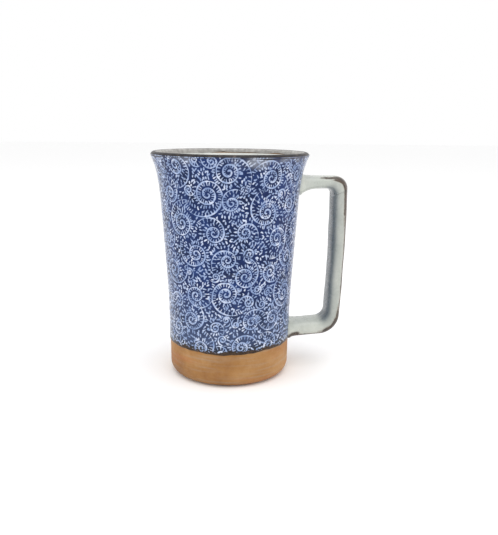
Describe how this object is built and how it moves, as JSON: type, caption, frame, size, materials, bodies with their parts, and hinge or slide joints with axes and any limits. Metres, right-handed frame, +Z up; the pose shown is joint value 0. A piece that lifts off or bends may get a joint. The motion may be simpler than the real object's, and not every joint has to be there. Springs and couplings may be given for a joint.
{
  "type": "stoneware mug",
  "caption": "Tall flared stoneware mug with an unglazed foot, a squared strap handle and a scroll-decorated glaze.",
  "frame": {"origin": "on the cup's axis, at the plane the foot ring stands on", "axes": "+Z up along the cup's axis, +X towards the handle"},
  "size_m": [0.1044, 0.0824, 0.12],
  "materials": {
    "stoneware": "matte unglazed orange-brown stoneware",
    "handle_stoneware": "matte stoneware, hidden under glaze",
    "luting_slip": "matte fired slip, hidden under glaze",
    "scroll_glaze": "glossy blue glaze with white scrolls",
    "iron_rim_glaze": "glossy iron brown",
    "liner_glaze": "glossy pale grey-green",
    "celadon_glaze": "glossy pale celadon grey-green"
  },
  "bodies": {
    "root": {"stoneware_body": "stoneware", "handle": "handle_stoneware", "upper_luting_slip": "luting_slip", "lower_luting_slip": "luting_slip", "outer_glaze": "scroll_glaze", "rim_glaze": "iron_rim_glaze", "liner_glaze": "liner_glaze", "handle_glaze": "celadon_glaze"}
  },
  "joints": []
}
